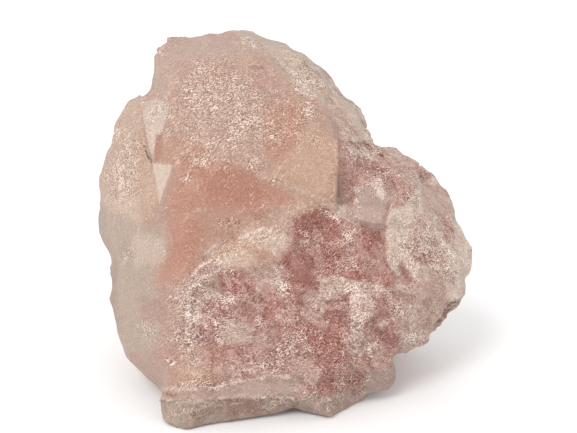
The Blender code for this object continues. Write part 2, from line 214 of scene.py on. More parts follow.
# Thin marks on the broad face: colour, width in marks, strength and the points they run through.
LINES = (
    # painted shade in the crevice by the wedge
    ("dirt_and_crease_shade", 0.8, 0.9, ((143, 143), (147, 153), (152, 162))),
    ("wine", 2.0, 0.9, ((338.5, 140), (339, 165), (338, 178), (339, 196))),
    ("honey", 2.2, 0.8, ((335, 142), (335.5, 165), (334, 196))),
    ("wine", 2.0, 0.5, ((388, 202), (384, 222), (384, 244), (386, 262), (395, 278))),
    ("clay", 2.4, 0.6, ((398, 268), (404, 272), (408, 278))),
    ("mauve", 2.0, 0.8, ((400, 262), (408, 274), (418, 286))),
    ("bright", 2.2, 0.9, ((163, 389), (200, 388.5), (216, 387.5), (228, 383), (243, 378), (262, 376),
        (288, 377))),
    ("bright", 1.8, 0.5, ((222, 384), (240, 381), (262, 380))),
    ("clay", 1.6, 0.35, ((228, 386), (262, 380), (300, 382))),
    ("bright", 2.2, 0.7, ((168, 401), (200, 401), (228, 399), (243, 396), (268, 397), (292, 397))),
    # painted shade in the crease under the slab
    ("dirt_and_crease_shade", 0.9, 0.6, ((206, 401), (226, 400.5), (246, 399), (262, 399))),
    ("dirt_and_crease_shade", 1.0, 0.8, ((291, 400), (294, 405), (293, 408))),
    ("dirt_and_crease_shade", 0.9, 0.7, ((298, 402), (297, 405))),
    ("dirt_and_crease_shade", 1.3, 0.6, ((163, 393), (172, 396), (176, 395))),
    ("bright", 1.8, 0.6, ((258, 176), (282, 184), (300, 190), (328, 199))),
    ("bright", 1.6, 0.5, ((240, 240), (252, 234), (262, 229), (280, 226))),
    ("bright", 1.8, 0.5, ((140, 226), (134, 242), (127, 256), (122, 266))),
    ("slab", 2.0, 0.6, ((140, 225), (156, 216), (160, 206))),
    ("bright", 2.2, 0.8, ((224, 327), (238, 325), (254, 329))),
    ("bright", 1.6, 0.6, ((222, 328), (221, 346))),
    ("bright", 1.5, 0.8, ((218, 264), (232, 255), (242, 252))),
    ("frost_and_glint", 1.3, 0.6, ((206, 254), (212, 247), (218, 242))),
    ("frost_and_glint", 1.5, 0.6, ((240, 239), (250, 234), (264, 229), (271, 230))),
    ("bright", 1.4, 0.8, ((258, 248), (270, 252), (279, 258), (281, 268))),
    ("bright", 1.6, 0.4, ((181, 225), (188, 216), (196, 210), (206, 209))),
    ("frost_and_glint", 1.3, 0.7, ((190, 278), (200, 267), (212, 260))),
    ("bright", 1.6, 0.9, ((320, 301), (319, 290), (321, 281), (328, 278), (338, 277), (347, 281))),
    ("frost_and_glint", 1.4, 0.7, ((176, 300), (190, 287), (204, 277), (220, 270))),
    ("bright", 1.6, 0.5, ((182, 306), (198, 292), (214, 280))),
    ("bright", 1.6, 0.7, ((319, 284), (319, 298), (323, 304), (318, 316))),
    ("clay", 1.6, 0.5, ((322, 300), (330, 297), (346, 299))),
    # brown earth at the right rim
    ("dirt_and_crease_shade", 2.6, 0.9, ((458, 302), (450, 307), (443, 318), (436, 326))),
    ("dirt_and_crease_shade", 3.4, 0.5, ((446, 302), (454, 303))),
    ("clay", 1.8, 0.6, ((436, 213), (446, 214))),
    ("bright", 1.6, 0.5, ((182, 154), (188, 151), (194, 156))),
    ("bright", 1.8, 0.6, ((282, 62), (292, 72), (302, 84), (316, 95))),
    ("clay", 1.6, 0.5, ((256, 40), (270, 56), (284, 70))),
    ("mauve", 1.8, 0.5, ((342, 118), (350, 128), (358, 136))),
    ("clay", 2.0, 0.5, ((322, 372), (340, 366), (360, 370))),
    ("bright", 1.6, 0.6, ((338, 346), (350, 338), (362, 334))),
    ("foot", 1.8, 0.5, ((118, 320), (140, 310), (160, 300))),
    ("dirt_and_crease_shade", 1.2, 0.35, ((194, 421), (210, 413), (222, 404))),
    ("dirt_and_crease_shade", 1.2, 0.4, ((244, 401), (249, 408), (248, 414))),
    ("dirt_and_crease_shade", 1.0, 0.4, ((262, 401), (264, 409), (272, 414))),
    ("bright", 1.4, 0.6, ((184, 412), (198, 409), (212, 403))),
    ("bright", 1.4, 0.6, ((266, 403), (278, 402), (286, 404))),
    ("bright", 1.4, 0.6, ((312, 414), (318, 402), (330, 399), (344, 394))),
    ("bright", 1.2, 0.5, ((230, 404), (240, 403))),
)

# Where bruises and painted glints gather: middle in marks, half width, half height, turn in degrees and
# strength.
SPARKLES = (
    (210, 108, 56, 62, 0, 0.7), (266, 118, 44, 56, 0, 0.4), (204, 72, 18, 9, -30, 0.4),
    (236, 80, 16, 9, 0, 0.5), (192, 96, 10, 10, 0, 0.4), (215, 107, 8, 3, 0, 0.7),
    (190, 134, 10, 6, 0, 0.6), (240, 132, 24, 16, -40, 0.4), (200, 160, 12, 8, 0, 0.9),
    (275, 136, 9, 8, 0, 0.8), (252, 164, 8, 8, 0, 0.7), (186, 178, 6, 7, 0, 1), (298, 130, 6, 12, 0, 0.6),
    (276, 180, 9, 4, 0, 0.9), (160, 52, 8, 6, 0, 0.8), (250, 44, 12, 5, 20, 0.9),
    (122, 168, 24, 50, 10, 0.9), (116, 132, 8, 10, 0, 0.9), (122, 190, 8, 8, 0, 0.9),
    (302, 84, 16, 12, 45, 1), (322, 82, 6, 8, 0, 0.7), (308, 112, 14, 12, 0, 0.7),
    (316, 140, 10, 8, 0, 0.6), (166, 130, 6, 8, 0, 0.8), (156, 110, 14, 14, 0, 0.7),
    (128, 256, 8, 12, 20, 0.8), (230, 222, 14, 5, 0, 0.7), (262, 238, 34, 12, -25, 0.5),
    (335, 250, 56, 34, 0, 0.25), (370, 165, 38, 28, 20, 0.35), (300, 335, 100, 46, 0, 0.32),
    (432, 245, 44, 52, -20, 0.3), (216, 260, 24, 10, -20, 0.5), (192, 292, 26, 16, -35, 1),
    (190, 314, 10, 10, 0, 1), (228, 300, 18, 7, -20, 1), (232, 274, 6, 6, 0, 1),
    (148, 330, 9, 12, 0, 0.8), (186, 336, 24, 12, 0, 0.8), (188, 350, 6, 12, 0, 0.8),
    (170, 362, 8, 6, 0, 0.9), (218, 338, 6, 14, 0, 0.6), (220, 320, 16, 12, 0, 0.8),
    (260, 322, 6, 6, 0, 0.9), (284, 288, 12, 14, 0, 0.9), (252, 362, 22, 12, -30, 0.4),
    (282, 354, 14, 10, -40, 0.5), (200, 384, 36, 6, 0, 0.7), (272, 366, 18, 8, 0, 0.8),
    (348, 236, 12, 10, 0, 0.8), (330, 214, 14, 6, 30, 1), (376, 186, 10, 12, 0, 1),
    (356, 198, 6, 12, 0, 0.9), (356, 150, 18, 8, 20, 0.9), (376, 152, 10, 8, 0, 0.9),
    (350, 266, 20, 8, 0, 0.7), (308, 236, 10, 16, 0, 0.5), (350, 288, 32, 10, 0, 0.8),
    (360, 316, 12, 18, 0, 0.8), (400, 310, 14, 10, 30, 0.7), (412, 338, 14, 8, -20, 0.9),
    (428, 252, 16, 14, 0, 0.5), (402, 250, 12, 20, -25, 0.4), (440, 230, 22, 30, -30, 0.3),
    (410, 196, 10, 8, 0, 0.6), (452, 270, 14, 20, 0, 0.6), (336, 350, 34, 26, 0, 0.3),
    (372, 350, 12, 12, 0, 0.6), (300, 340, 20, 22, 0, 0.3), (364, 378, 6, 8, 0, 0.8),
    (270, 398, 30, 4, 0, 0.9), (308, 392, 20, 8, 0, 0.7), (344, 384, 14, 10, -20, 0.8),
    (336, 404, 20, 6, -20, 0.5), (190, 412, 26, 10, 0, 0.4), (272, 405, 16, 5, 0, 0.5),
    (420, 180, 12, 10, 0, 0.6), (396, 172, 16, 10, 20, 0.5),
)

# Parts of the broad face that are smooth and glassy: softness in marks, strength and outline.
GLASS = (
    (34, 1, ((60, 0), (262, 0), (300, 80), (337, 108), (338, 200), (300, 206), (262, 212), (214, 248),
        (198, 274), (178, 300), (176, 350), (186, 384), (150, 410), (60, 410))),
    (6, 0.9, ((342, 204), (372, 184), (386, 200), (386, 222), (376, 229))),
    (5, 0.7, ((388, 210), (412, 200), (412, 240), (392, 240))),
    (4, 0.9, ((364, 372), (400, 368), (400, 390), (366, 392))),
    (5, 0.7, ((156, 402), (240, 400), (300, 399), (350, 394), (360, 400), (318, 424), (250, 424),
        (160, 436))),
    (10, 0.75, ((212, 250), (250, 226), (296, 206), (292, 244), (284, 262), (240, 268), (210, 264))),
    (8, 0.5, ((224, 326), (256, 328), (250, 344), (228, 346))),
    (8, 0.5, ((360, 250), (384, 250), (386, 276), (364, 276))),
    (6, 0.6, ((288, 260), (312, 262), (310, 286), (290, 280))),
    (5, 0.85, ((162, 391), (214, 391), (240, 382), (300, 379), (310, 395), (162, 399))),
    (6, 0.7, ((386, 232), (392, 234), (420, 270), (404, 262), (386, 250))),
    (6, 0.7, ((420, 186), (438, 184), (452, 204), (456, 222), (446, 214), (424, 214))),
    (6, 0.7, ((426, 268), (450, 270), (456, 298), (416, 298))),
    (8, 0.5, ((456, 230), (474, 250), (468, 296), (458, 280))),
)

# Plates that stand proud of the broad face, or lie below it: millimetres, softness of the edge in marks
# and outline.
PLATES = (
    (-1.3, 2.5, ((338.5, 140), (366, 144), (386, 158), (400, 200), (386, 204), (354, 206), (338.5, 202))),
    (0.9, 3, ((340, 206), (354, 196), (372, 190), (386, 204), (385, 224), (374, 230), (352, 218))),
    (0.45, 3, ((386, 222), (391, 209), (404, 207), (420, 184), (450, 200), (470, 240), (468, 290), (430, 284),
        (404, 268), (397, 278), (387, 262), (385, 244))),
    (-0.7, 4, ((156, 134), (162, 136), (163, 152), (155, 162))),
    (-0.8, 3, ((143, 104), (152, 99), (168, 104), (163, 132), (152, 160), (146, 146))),
    (0.5, 4, ((320, 280), (336, 276), (354, 281), (374, 283), (384, 299), (352, 297), (325, 301))),
    (0.4, 4, ((350, 306), (370, 306), (375, 315), (362, 326), (359, 338), (352, 330))),
    (-0.6, 4, ((217, 271), (240, 268), (260, 277), (256, 287), (242, 296), (222, 293))),
    (-0.7, 4, ((320, 300), (346, 299), (349, 308), (340, 322), (326, 324), (317, 316))),
    (0.8, 2.5, ((158, 389), (216, 388), (243, 378), (290, 376), (318, 384), (318, 396), (240, 398),
        (158, 401))),
    (-0.4, 4, ((402, 270), (410, 268), (418, 286), (408, 284))),
    (0.25, 5, ((222, 326), (256, 328), (250, 342), (226, 344))),
    (-1.0, 5, ((252, 64), (264, 68), (280, 80), (282, 98), (270, 97), (258, 84))),
    (0.8, 3, ((364, 372), (380, 369), (400, 370), (398, 390), (366, 391))),
    (-0.8, 4, ((436, 212), (447, 215), (454, 238), (448, 244), (440, 234))),
)

# Clouds of colour away from the broad face: size in millimetres, place in the noise and colour.
DRIFTS = ((26, 5, "crown"), (20, 6, "rose"), (16, 7, "cream"), (22, 8, "mauve"), (12, 9, "lilac"))
DRIFT_STRENGTH = 0.65

# Sparkles off the broad face: size of their patches in millimetres and place in the noise, how far those
# go beyond half of the surface, and strength. On the broad face: strength everywhere and in its patches.
BACK_PATCHES = (14, 31)
BACK_MORE = 0.25
BACK_SPARKLE = 0.9
LEAST_SPARKLE = 0.10
SPARKLE = 0.6

# Painted greyer rim where the surface turns away from the camera's view, standing in for light through the
# thin edges and grazing reflections: curve, start, span and strength.
EDGE_CURVE = 0.7
EDGE_FROM = 0.25
EDGE_SPAN = 0.65
PAINTED_RIM_TINT = 0.45

# Sizes of the material's noise, in millimetres: bends in its shapes, clouds of light and dark, mottling,
# two kinds of grain and the places where strokes gather.
WOBBLE = 1.5
CLOUD = 7
MOTTLE = 1.6
SALT = 0.32
FIZZ = 0.24
GATHERING = 3.2

# Length and width of its flakes, chips and fine strokes, in millimetres, and how they are turned, in
# radians.
FLAKE = (6.4, 3.2)
CHIP = (1.8, 1.0)
STROKE = (2.6, 0.24)
FLAKE_TURN = (0.2, 0.75, 0.1)
STROKE_TURNS = ((0, -0.9, 0.3), (0.2, -0.5, 0), (0.3, 1.0, 0.2), (0.1, 0.1, 0.4))

# Small pulls on the outline: middle, radius and shift right and down, all in marks.
PULLS = (
    (158, 52, 10, -2.5, -1), (174, 34, 5, 0, 4.5), (191, 38, 9, 0, -4), (218, 31, 6, 0, 1.5),
    (236, 32, 12, 0, -3), (147, 95, 7, -2, -4), (131, 99, 9, -2, -3), (111, 139, 9, -1.5, 0),
    (103, 160, 9, -2, 0), (98, 208, 18, -1.5, 0), (103, 240, 9, -1.5, 1), (111, 299, 7, -3.5, 0),
    (115, 322, 10, 1, 0), (127, 355, 10, -2, 1), (442, 326, 14, 4, 4), (425, 344, 8, 2, 2),
    (430, 336, 6, 2, 2), (455, 303, 9, 4, 4), (444, 322, 5, -1.5, -1.5), (465, 296, 5, 2, 0),
    (468, 278, 8, -4.5, 0), (421, 168, 7, 2.5, -2.5), (404, 155, 7, -0.5, 1.5), (440, 182, 7, -2, 2),
    (364, 116, 6, -1.5, 1), (369, 131, 7, 4.5, -1), (375, 140, 7, 4, -3), (392, 147, 7, 0, -1),
    (343, 88, 15, -2, 2), (296, 47, 6, -1, 2.5), (470, 236, 8, 1.5, -1),
)

# Edges of zones, in marks: length of their bends and how far they stray.
WANDER = ((22, 3.0), (8, 1.6), (3, 1.0))
STEADY = 8  # zones with edges softer than this stray all the way
LINE_STRAY = 0.4  # how much of that thin marks stray
GAPS = (0.9, 41)  # gaps in the thin marks: size in millimetres and place in the noise
PLATE_BENDS = ((3, 21), (3, 22))  # bends in the edges of plates, right and down, in the same way
PLATE_STRAY = 2  # how far those edges stray

# Where the mesh is finest, in marks: by the edges of zones no softer than CRISP and by thin marks.
CRISP = 2.5
BY_EDGE = 0.8
BY_LINE = 1.1

SEEN_FROM = -0.05  # faces that turn from the camera by more than this aren't seen
WELD = 0.00001  # points of the solid closer than this are one, in metres

# Where the surface counts as the broad face: how far it turns to the camera, at least, and the span.
FORWARD_FROM = -0.5
FORWARD_SPAN = 0.35

# Flat breaks: size in millimetres and how they lean.
BREAKS = ((8.5, 0.08), (3.8, 0.048), (1.8, 0.028))
BREAK_EDGE = 0.2  # width of the soft creases between breaks, as a share of their size
NEAREST = 5  # how many breaks a point is weighed from
GLASS_CALM = 0.85  # how much of its breaks a glassy face loses
LEAST_GLASS = 0.02  # points less glassy than this aren't smoothed
LOW_EDGE = (0.3, 2.5)  # heights above the floor, in millimetres, between which breaks and pulls set in
ROUNDS = {"eased_steps": 3, "glassy_faces": 24, "eased_splits": 2}  # how often each smoothing runs
SMOOTH_ANGLE = radians(32)  # faces that meet at less than this look smooth

# The studio: width of the floor and place of the lamp in metres, and the camera's sensor in millimetres.
FLOOR_WIDTH = 8
LAMP_PLACE = (-0.4, -0.6, 0.9)
SENSOR_WIDTH = 36


def srgb(*shades):
    """A colour given as shades from 0 to 255, as the linear values that Blender uses."""
    parts = [shade / 255 for shade in shades]
    return tuple(p / 12.92 if p < 0.04045 else ((p + 0.055) / 1.055) ** 2.4 for p in parts)


def colour_of(name, description, *shades):
    """A colour property for the panel."""
    return bpy.props.FloatVectorProperty(
        name=name, description=description, default=srgb(*shades), subtype="COLOR", size=3, min=0, max=1
    )


def number_of(name, description, default, **settings):
    """A number property for the panel."""
    return bpy.props.FloatProperty(name=name, description=description, default=default, **settings)


class QuartzLook(bpy.types.PropertyGroup):
    """Sizes and colours of the stone."""

    grain: number_of("Grain", "Spacing of the mesh away from the broad face", 0.00136, unit="LENGTH")
    depth: number_of("Depth", "Share of the colours' light that the stone keeps", 0.785, subtype="FACTOR")
    glow: number_of("Glow", "How much light spreads inside the stone", 0.45, subtype="FACTOR")
    glow_depth: number_of("Glow depth", "How far light spreads inside the stone", 0.004, unit="LENGTH")
    blush: colour_of("Blush", "Milky pink of most of the stone", 192, 160, 146)
    crown: colour_of("Crown", "Upper mass", 195, 162, 145)
    top: colour_of("Top", "Greyer top of the crown", 197, 169, 154)
    strip: colour_of("Strip", "Pale band outside the crown", 202, 178, 162)
    peach: colour_of("Peach", "Warm quartz around the hollow", 195, 147, 127)
    # Deep peach of the hollow, partly painted shade where the hollow faces down and in the crevice by the
    # wedge
    ember_and_shade: colour_of("Ember", "Deepest part of the hollow", 192, 138, 118)
    honey: colour_of("Honey", "Yellower quartz beside the hollow", 205, 169, 147)
    slab: colour_of("Slab", "Pale slab on the left", 202, 172, 152)
    flank: colour_of("Flank", "Grey, glassy left side", 191, 169, 152)
    rose: colour_of("Rose", "Pink of the lower mass", 183, 141, 129)
    # Deep colours of the broken middle, partly painted shade under the crown's overhang
    mauve: colour_of("Mauve", "Deep colour of the broken middle", 180, 124, 112)
    wine: colour_of("Wine", "Deepest part of the broken middle", 169, 116, 103)
    # Pink of the sunken faces, partly painted shade where they lie below the faces around them
    pink_and_recess_shade: colour_of("Recess", "Sunken faces right of the crown", 195, 157, 144)
    lilac: colour_of("Lilac", "Cool quartz of the ledge", 192, 164, 153)
    cream: colour_of("Cream", "Pale quartz of the right cheek", 217, 195, 179)
    # Grey quartz at the foot, partly painted shade where the underside faces down; also the colour of the
    # painted greyer rim
    foot: colour_of("Foot", "Grey quartz at the foot", 170, 147, 133)
    clay: colour_of("Clay", "Brown tinge under the foot", 163, 132, 120)
    knob: colour_of("Knob", "Knob at the lower right", 171, 146, 135)
    # Whitened veins and wedges, partly a painted highlight on the wedge left of the crown and on the lip
    # below the hollow, where they face the lamp
    bright: colour_of("Bright", "Whitened veins and wedges", 221, 198, 182)
    # Frosted white quartz, and also the colour of the painted glints that the material mixes into its strokes
    frost_and_glint: colour_of("Frost", "Bruises and glints", 251, 231, 219)
    # Dark brown of thin marks: brown earth at the right rim, and painted shade in the creases by the wedge
    # and under the slab
    dirt_and_crease_shade: colour_of("Dirt", "Brown earth left in the deepest pits", 108, 78, 64)


class StudioLook(bpy.types.PropertyGroup):
    """Lights, floor and camera."""

    key: number_of("Key light", "Strength of the wide soft lamp", 1.1)
    key_width: number_of("Key width", "Angle that the soft lamp fills", radians(24), subtype="ANGLE")
    sky: number_of("Room light", "Strength of the white room", 0.98)
    floor: colour_of("Floor", "Colour of the studio floor", 250, 250, 250)
    lens: number_of("Lens", "Focal length", 80, unit="CAMERA")


PALETTE = tuple(name for name, made in QuartzLook.__annotations__.items() if "size" in made.keywords)


class Wire:
    """A shader socket on which Python's sums add Math nodes."""

    def __init__(self, maker, socket):
        self.maker = maker
        self.socket = socket

    def sum(self, operation, *values):
        return self.maker.add("ShaderNodeMath", {"operation": operation}, dict(enumerate(values)))

    def __add__(self, other):
        return self.sum("ADD", self, other)

    def __radd__(self, other):
        return self.sum("ADD", other, self)

    def __sub__(self, other):
        return self.sum("SUBTRACT", self, other)

    def __rsub__(self, other):
        return self.sum("SUBTRACT", other, self)

    def __mul__(self, other):
        return self.sum("MULTIPLY", self, other)

    def __rmul__(self, other):
        return self.sum("MULTIPLY", other, self)

    def between(self, low, high):
        """0 up to low, 1 from high, and smooth in between."""
        settings = {"interpolation_type": "SMOOTHSTEP"}
        values = {"Value": self, "From Min": low, "From Max": high}
        return self.maker.add("ShaderNodeMapRange", settings, values)


class ShaderMaker:
    """Adds nodes to one material."""

    def __init__(self, name):
        self.material = bpy.data.materials.new(name)
        self.material.use_nodes = True
        self.tree = self.material.node_tree
        self.shader = self.tree.nodes["Principled BSDF"]

    def set(self, node, values):
        for name, value in values.items():
            if isinstance(value, Wire):
                self.tree.links.new(value.socket, node.inputs[name])
            elif value is not None:
                node.inputs[name].default_value = value

    def add(self, kind, settings=None, values=None, output=0):
        """A new node with these settings, then these values or links on its sockets."""
        node = self.tree.nodes.new(kind)
        for name, value in (settings or {}).items():
            setattr(node, name, value)
        self.set(node, values or {})
        return Wire(self, node.outputs[output])

    def stored(self, name, output="Fac"):
        """A value or colour kept on the mesh under this name."""
        return self.add("ShaderNodeAttribute", {"attribute_name": name}, output=output)

    def mix(self, share, first, second):
        """The first colour turning into the second as share goes to 1."""
        return self.add("ShaderNodeMix", {"data_type": "RGBA"}, {0: share, 6: first, 7: second}, output=2)

    def vector(self, operation, *values, output=0):
        return self.add("ShaderNodeVectorMath", {"operation": operation}, dict(enumerate(values)), output)

    def scaled(self, vector, size):
        return self.add("ShaderNodeVectorMath", {"operation": "SCALE"}, {0: vector, "Scale": size})

    def noise(self, place, size, detail=3, rough=0.5, output=0):
        """Noise whose lumps are about this many millimetres apart, from 0 to 1."""
        values = {"Vector": place, "Scale": 1 / size, "Detail": detail, "Roughness": rough}
        return self.add("ShaderNodeTexNoise", None, values, output)

    def turned(self, place, turn, length, width):
        """Places turned and drawn out, so that a shape one unit across becomes this long and wide."""
        values = {"Vector": place, "Rotation": turn, "Scale": (length, width, width)}
        return self.add("ShaderNodeMapping", {"vector_type": "TEXTURE"}, values)

    def facets(self, place):
        """Height of flat tilted grains one unit across, and a shade for each from 0 to 1."""
        values = {"Vector": place, "Scale": 1.0}
        middle = self.add("ShaderNodeTexVoronoi", None, values, "Position")
        tint = self.add("ShaderNodeTexVoronoi", None, values, "Color")
        lean = self.vector("SUBTRACT", tint, (0.5, 0.5, 0.5))
        apart = self.vector("SUBTRACT", place, middle)
        shade = self.vector("DOT_PRODUCT", tint, (1.0, 0, 0), output="Value")
        return self.vector("DOT_PRODUCT", apart, lean, output="Value"), shade


def seen(points):
    """Where points lie on the broad face as the camera sees them, in marks right and down."""
    camera = np.array(AIM + TOWARDS * DISTANCE)
    apart = points - camera
    scale = MARKS * DISTANCE / -(apart @ np.array(TOWARDS))
    right, up = apart @ np.array(RIGHT), apart @ np.array(UP)
    return np.stack([AIM_MARK[0] + right * scale, AIM_MARK[1] - up * scale], axis=1)


def noise_at(points, size, shift):
    """Smooth noise of this size at each point, from -1 to 1."""
    offset = Vector((shift * 13.1, shift * 7.7, shift * 3.3))
    return np.array([noise.noise(Vector(point) / size + offset) for point in points])


def eased(values):
    """0 below 0, 1 above 1, and smooth in between."""
    values = np.clip(values, 0, 1)
    return values * values * (3 - 2 * values)


def run_along(place, start, end):
    """Distance from each place to the straight run between two points."""
    run = end - start
    apart = place - start
    share = np.clip(apart @ run / (run @ run), 0, 1)
    return np.hypot(*(apart - share[:, None] * run).T)


def inside(place, outline, soft):
    """1 inside an outline and 0 outside it, with an edge this soft."""
    corners = np.array(outline, float)
    away = np.full(len(place), np.inf)
    within = np.zeros(len(place), bool)
    for start, end in zip(corners, np.roll(corners, -1, axis=0)):
        away = np.minimum(away, run_along(place, start, end))
        if start[1] != end[1]:
            spans = (start[1] > place[:, 1]) != (end[1] > place[:, 1])
            crossing = start[0] + (place[:, 1] - start[1]) * (end[0] - start[0]) / (end[1] - start[1])
            within ^= spans & (place[:, 0] < crossing)
    return eased(np.where(within, away, -away) / soft + 0.5)


def on_line(place, points, width):
    """1 on a line through these points and 0 away from it."""
    corners = np.array(points, float)
    away = np.full(len(place), np.inf)
    for start, end in zip(corners[:-1], corners[1:]):
        away = np.minimum(away, run_along(place, start, end))
    return eased(1.5 - away / width)


def in_patch(place, middle, half_width, half_height, turn):
    """1 in the middle of an oval and 0 outside it."""
    x, y = place[:, 0] - middle[0], place[:, 1] - middle[1]
    c, s = cos(radians(turn)), sin(radians(turn))
    away = np.hypot((c * x + s * y) / half_width, (c * y - s * x) / half_height)
    return np.exp(-1.3 * away * away)


def broken(points, rng, size, lean):
    """Height of flat breaks of this size, which lean this way and that and meet in creases."""
    low, high = points.min(axis=0) - size, points.max(axis=0) + size
    count = int(np.prod(high - low) / size**3)
    seeds = rng.uniform(low, high, (count, 3))
    tree = kdtree.KDTree(count)
    for index, seed in enumerate(seeds):
        tree.insert(seed, index)
    tree.balance()
    leans = rng.normal(0, lean, (count, 3))
    found = np.array([[(index, away) for _, index, away in tree.find_n(point, NEAREST)] for point in points])
    near, away = found[:, :, 0].astype(int), found[:, :, 1]
    heights = ((points[:, None] - seeds[near]) * leans[near]).sum(axis=2)
    shares = 1 - np.square(away / away[:, -1:])
    smooth = (heights * shares).sum(axis=1) / shares.sum(axis=1)
    crisp = eased((away[:, 3] - away[:, 2]) / (BREAK_EDGE * size))
    return smooth + (np.median(heights[:, :3], axis=1) - smooth) * crisp


def read_points(mesh):
    """Places, in millimetres, and normals of a mesh's points."""
    places = np.empty(len(mesh.vertices) * 3, np.float32)
    mesh.vertices.foreach_get("co", places)
    places = places.reshape(-1, 3).astype(float) / MM
    mesh.calc_loop_triangles()
    faces = np.empty(len(mesh.loop_triangles) * 3, np.int32)
    mesh.loop_triangles.foreach_get("vertices", faces)
    faces = faces.reshape(-1, 3)
    a, b, c = (places[faces[:, corner]] for corner in range(3))
    across = np.cross(b - a, c - a)
    normals = np.zeros_like(places)
    for corner in range(3):
        for axis in range(3):
            normals[:, axis] += np.bincount(faces[:, corner], across[:, axis], len(places))
    return places, normals / np.linalg.norm(normals, axis=1)[:, None]


def write_points(mesh, points):
    """Moves a mesh's points to these places, in millimetres."""
    mesh.vertices.foreach_set("co", (points * MM).ravel())
    mesh.update()


def only(piece):
    """Selects this object alone and makes it active."""
    bpy.ops.object.select_all(action="DESELECT")
    piece.select_set(True)
    bpy.context.view_layer.objects.active = piece


def apply(piece, kind, name, **settings):
    """Adds a modifier with these settings and applies it."""
    modifier = piece.modifiers.new(name, kind)
    for key, value in settings.items():
        setattr(modifier, key, value)
    only(piece)
    bpy.ops.object.modifier_apply(modifier=name)


def forward_of(normals):
    """How far the surface at each normal counts as the broad face."""
    facing = normals @ np.array(TOWARDS)
    return eased((facing - FORWARD_FROM) / FORWARD_SPAN)


def front_faces(mesh):
    """Which faces the camera sees, and where their middles lie in marks."""
    normals, middles = (np.empty(len(mesh.polygons) * 3, np.float32) for _ in range(2))
    mesh.polygons.foreach_get("normal", normals)
    mesh.polygons.foreach_get("center", middles)
    return normals.reshape(-1, 3) @ np.array(TOWARDS) > SEEN_FROM, seen(middles.reshape(-1, 3) / MM)


def near_detail(place):
    """Which places lie by a thin mark or the edge of a crisp zone."""
    near = np.zeros(len(place), bool)
    for _, _, _, corners in LINES:
        near |= on_line(place, corners, BY_LINE) > 0
    for _, soft, _, outline in LAYERS:
        if soft <= CRISP:
            near |= on_line(place, (*outline, outline[0]), BY_EDGE) > 0
    return near


def split_faces(stone, chosen):
    """Splits these quads once, for finer breaks and marks."""
    mesh = stone.data
    only(stone)
    bpy.ops.object.mode_set(mode="EDIT")
    bpy.ops.mesh.select_mode(type="FACE")
    bpy.ops.mesh.select_all(action="DESELECT")
    bpy.ops.object.mode_set(mode="OBJECT")
    mesh.polygons.foreach_set("select", chosen)
    bpy.ops.object.mode_set(mode="EDIT")
    bpy.ops.mesh.subdivide(number_cuts=1, smoothness=0)
    bpy.ops.object.mode_set(mode="OBJECT")


def painted_rim_of(points, normals):
    """Painted greyer rim: how far the surface turns away from the camera's view, from 0 to 1."""
    ways = np.array(AIM + TOWARDS * DISTANCE) - points
    ways /= np.linalg.norm(ways, axis=1)[:, None]
    turned = 1 - np.abs((normals * ways).sum(axis=1)) ** EDGE_CURVE
    return eased((turned - EDGE_FROM) / EDGE_SPAN)


def paint(points, forward, edge, look):
    """The colour of each point, linear, and how strongly it sparkles."""
    shades = {name: np.array(getattr(look, name)) for name in PALETTE}
    colours = np.tile(shades["blush"], (len(points), 1))
    for size, shift, name in DRIFTS:
        share = eased(noise_at(points, size, shift) * 3 - 0.1)[:, None] * DRIFT_STRENGTH
        colours += (shades[name] - colours) * share
    sparkle = np.maximum(0, noise_at(points, *BACK_PATCHES) + BACK_MORE) * BACK_SPARKLE * (1 - forward)

    front = np.flatnonzero(forward > 0)
    near, share = points[front], forward[front]
    place = seen(near)
    strays = np.zeros_like(place)
    for step, (size, stray) in enumerate(WANDER):
        for axis in range(2):
            strays[:, axis] += noise_at(near, size / MARKS, step * 2 + axis + 1) * stray
    painted = colours[front]
    for name, soft, strength, outline in LAYERS:
        loose = place + strays * min(1, soft / STEADY)
        painted += (shades[name] - painted) * (inside(loose, outline, soft) * strength * share)[:, None]
    uneven = eased(noise_at(near, *GAPS) * 2 + 0.75) * share
    for name, width, strength, corners in LINES:
        loose = place + strays * LINE_STRAY
        painted += (shades[name] - painted) * (on_line(loose, corners, width) * strength * uneven)[:, None]
    colours[front] = painted
    # painted greyer rim, standing in for light through the thin edges and grazing reflections
    colours += (shades["foot"] - colours) * (edge * PAINTED_RIM_TINT)[:, None]
    dark = 1 - LEAST_SPARKLE * share
    for right, down, half_width, half_height, turn, strong in SPARKLES:
        dark *= 1 - in_patch(place, (right, down), half_width, half_height, turn) * strong * SPARKLE * share
    sparkle[front] = np.maximum(sparkle[front], 1 - dark)
    return colours, sparkle


